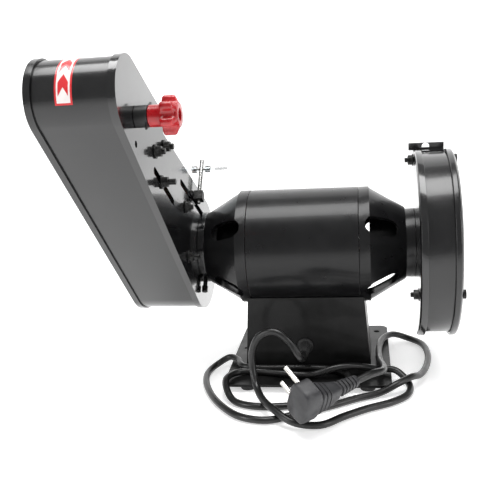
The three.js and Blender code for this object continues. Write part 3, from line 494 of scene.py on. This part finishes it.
def make_knob():
    """A six-lobed red knob with a dished face, on a round sleeve."""
    def lobes(base, swing):
        def radius(turn):
            wave = math.cos(KNOB_LOBES * turn)
            return base - swing + swing * math.copysign(abs(wave) ** 0.6, wave)
        return radius

    profile = [
        (75.5, 4.6), (69.5, 4.6), (69.5, 8.4), (70.2, 9.2),
        (71.4, lobes(11.8, 1.6)), (72.4, lobes(13.6, 2.2)), (73.6, lobes(14.15, 2.4)),
        (80.4, lobes(14.15, 2.4)), (81.4, lobes(13.4, 2.2)), (81.8, lobes(12.2, 1.6)),
        (81.9, 8.3), (82.6, 8.0), (91.2, 7.9), (91.7, 7.4), (91.7, 3.3), (75.5, 3.3),
    ]
    knob = revolve("tracking_knob_grip", profile, 168, 42)
    knob.data.transform(arm_matrix() @ Matrix.Translation(Vector((0, *IDLER_AT)) * MM))
    return finish_piece(knob, "red", "knob", "red_plastic", "tracking_knob")


make_knob()


# ---------------------------------------------------------------- direction sticker

def sticker_material(name, colour):
    s = Surface(name, 0.3, coat=0.4)
    s.colour(s.noise(60, 4), tuple(0.88 * c for c in colour), colour)
    s.rough(s.noise(150, 4), 0.24, 0.36)
    return s.bump(s.noise(900, 2), 0.00002).mat


MATERIALS["sticker_red"] = sticker_material("label_red", (0.62, 0.02, 0.025))
MATERIALS["sticker_pale"] = sticker_material("label_pale", (0.85, 0.8, 0.78))

BAND_RADIUS = 27.1
LABEL_FROM, LABEL_TO = math.radians(-46), math.radians(45)   # round the band's upper end
LABEL_X = (132.5, 145.0)


def label_patch(name, material, x0, x1, a0, a1, lift, notch=0.0):
    """A thin curved patch on the upper end of the band; its end can be notched like an arrow."""
    bm = bmesh.new()
    steps = 14
    rows = []
    for i in range(steps + 1):
        across = []
        for k in range(5):
            share = k / 4
            bend = notch * (1 - abs(2 * share - 1))
            turn = a0 + bend + (a1 - a0) * i / steps
            for r in (BAND_RADIUS + lift - 0.06, BAND_RADIUS + lift):
                across.append(bm.verts.new((
                    (x0 + (x1 - x0) * share) * MM,
                    (ARM_LENGTH + r * math.cos(turn)) * MM, r * math.sin(turn) * MM)))
        rows.append(across)
    for p, q in zip(rows, rows[1:]):
        for k in range(4):
            bm.faces.new((p[2 * k + 1], p[2 * k + 3], q[2 * k + 3], q[2 * k + 1]))
            bm.faces.new((p[2 * k], q[2 * k], q[2 * k + 2], p[2 * k + 2]))
        bm.faces.new((p[0], p[1], q[1], q[0]))
        bm.faces.new((p[8], q[8], q[9], p[9]))
    for row in (rows[0], rows[-1]):
        for k in range(4):
            bm.faces.new((row[2 * k], row[2 * k + 2], row[2 * k + 3], row[2 * k + 1]))
    bmesh.ops.recalc_face_normals(bm, faces=bm.faces)
    mesh = bpy.data.meshes.new(name)
    bm.to_mesh(mesh)
    bm.free()
    smooth(mesh, 40)
    patch = link(name, mesh)
    patch.data.transform(arm_matrix())
    return finish_piece(patch, material, "arm", "red_plastic")


def make_label():
    x0, x1 = LABEL_X
    label_patch("label_border", "sticker_red", x0, x1, LABEL_FROM, LABEL_TO, 0.1)
    inset = math.radians(3)
    label_patch("label_field", "sticker_pale", x0 + 1.4, x1 - 1.4, LABEL_FROM + inset, LABEL_TO - inset, 0.18)
    span = LABEL_TO - LABEL_FROM
    for i in range(2):
        start = LABEL_FROM + span * (0.14 + 0.4 * i)
        label_patch(f"label_chevron_{i + 1}", "sticker_red", x0 + 2.6, x1 - 2.6,
                    start, start + span * 0.22, 0.26, span * 0.14)


make_label()


# ---------------------------------------------------------------- stage and light

def make_floor():
    mesh = bpy.data.meshes.new("floor")
    half = 6.0
    corners = [(-half, -half, 0), (half, -half, 0), (half, half, 0), (-half, half, 0)]
    mesh.from_pydata(corners, [], [(0, 1, 2, 3)])
    floor = link("floor", mesh)
    s = Surface("pale_floor", 0.75, specular=0.2)
    s.colour(s.noise(3, 3), (0.86, 0.86, 0.86), (0.9, 0.9, 0.9))
    s.rough(s.noise(8, 3), 0.7, 0.8)
    s.glow(0.5)
    floor.data.materials.append(s.mat)


def make_backdrop():
    """A pale lit wall far behind the machine's front."""
    mesh = bpy.data.meshes.new("backdrop")
    far, half, top = -5.9, 9.0, 9.0
    corners = [(-half, far, -1), (half, far, -1), (half, far, top), (-half, far, top)]
    mesh.from_pydata(corners, [], [(3, 2, 1, 0)])
    wall = link("backdrop", mesh)
    s = Surface("pale_backdrop", 0.9, specular=0.1)
    s.colour(s.noise(2, 3), (0.88, 0.88, 0.88), (0.92, 0.92, 0.92))
    s.glow(1.0)
    wall.data.materials.append(s.mat)


def area_light(name, at, towards, width, height, power):
    data = bpy.data.lights.new(name, "AREA")
    data.shape = "RECTANGLE"
    data.size = width
    data.size_y = height
    data.energy = power
    light = bpy.data.objects.new(name, data)
    light.location = at
    light.rotation_euler = (Vector(towards) - Vector(at)).to_track_quat("-Z", "Y").to_euler()
    bpy.context.scene.collection.objects.link(light)


def make_world():
    world = bpy.data.worlds.new("studio")
    world.use_nodes = True
    background = world.node_tree.nodes["Background"]
    background.inputs["Color"].default_value = (1, 1, 1, 1)
    background.inputs["Strength"].default_value = 0.38
    bpy.context.scene.world = world
    bpy.context.scene.view_settings.view_transform = "Standard"


make_floor()
make_backdrop()
make_world()
middle = (0.0, 0.0, 0.13)                    # what every softbox faces, m
area_light("top_softbox", (0.0, 0.05, 1.4), middle, 1.3, 0.6, 20)
area_light("left_softbox", (1.2, 0.9, 0.7), middle, 0.4, 0.9, 7)
area_light("right_softbox", (-1.3, 0.6, 0.6), middle, 0.4, 0.8, 5)
